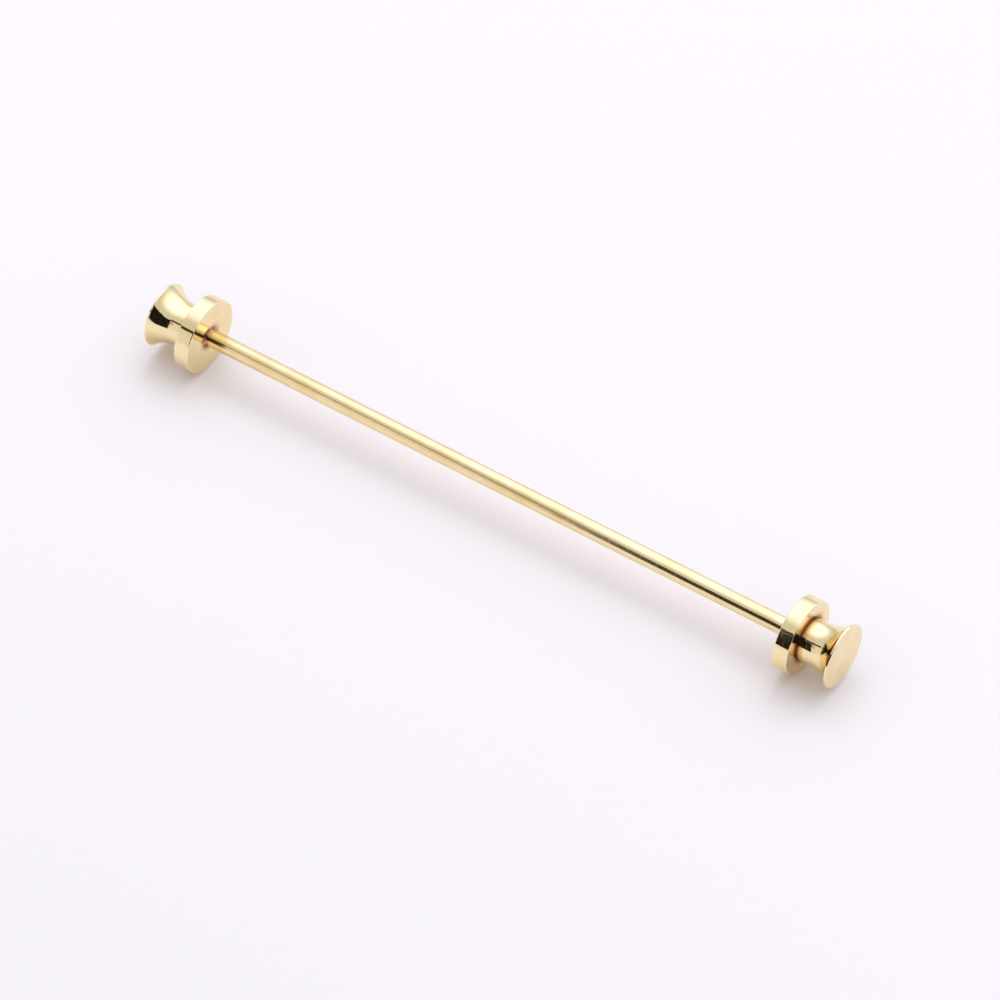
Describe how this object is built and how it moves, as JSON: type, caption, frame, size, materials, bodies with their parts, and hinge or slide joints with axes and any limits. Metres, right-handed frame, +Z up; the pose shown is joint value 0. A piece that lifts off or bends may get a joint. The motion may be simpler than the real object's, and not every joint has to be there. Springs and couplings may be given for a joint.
{
  "type": "collar bar",
  "caption": "Polished barbell-shaped collar bar: a thin rod with a disc and a flared head at each end, one head unscrewing so the rod can pass through shirt collar eyelets.",
  "frame": {"origin": "middle of the rod, on its axis: half way between the two end faces", "axes": "+X along the rod towards the end that unscrews, +Z up; the bar lies along X on the rims of its two discs"},
  "size_m": [0.0606, 0.006, 0.006],
  "materials": {
    "polished_gold": "mirror polished, pale yellow gold plate over brass",
    "gold_solder": "smooth solder under the same pale gold plate"
  },
  "bodies": {
    "fixed_part": {"bar": "polished_gold", "fixed_disc": "polished_gold", "fixed_head": "polished_gold", "solder_fillet": "gold_solder"},
    "loose_disc": {"loose_disc": "polished_gold"},
    "screw_head": {"screw_head": "polished_gold"}
  },
  "joints": [
    {"name": "end_travel", "type": "slide", "parent": "fixed_part", "child": "loose_disc", "axis": [1, 0, 0], "range_m": [0, 0.00375]},
    {"name": "end_screw", "type": "hinge", "parent": "loose_disc", "child": "screw_head", "pos_m": [0.02725, 0, 0], "axis": [1, 0, 0], "range_deg": [0, 5400]}
  ],
  "couplings": [
    {"joint": "end_screw", "follows": "end_travel", "rad_per_m": 25133}
  ]
}
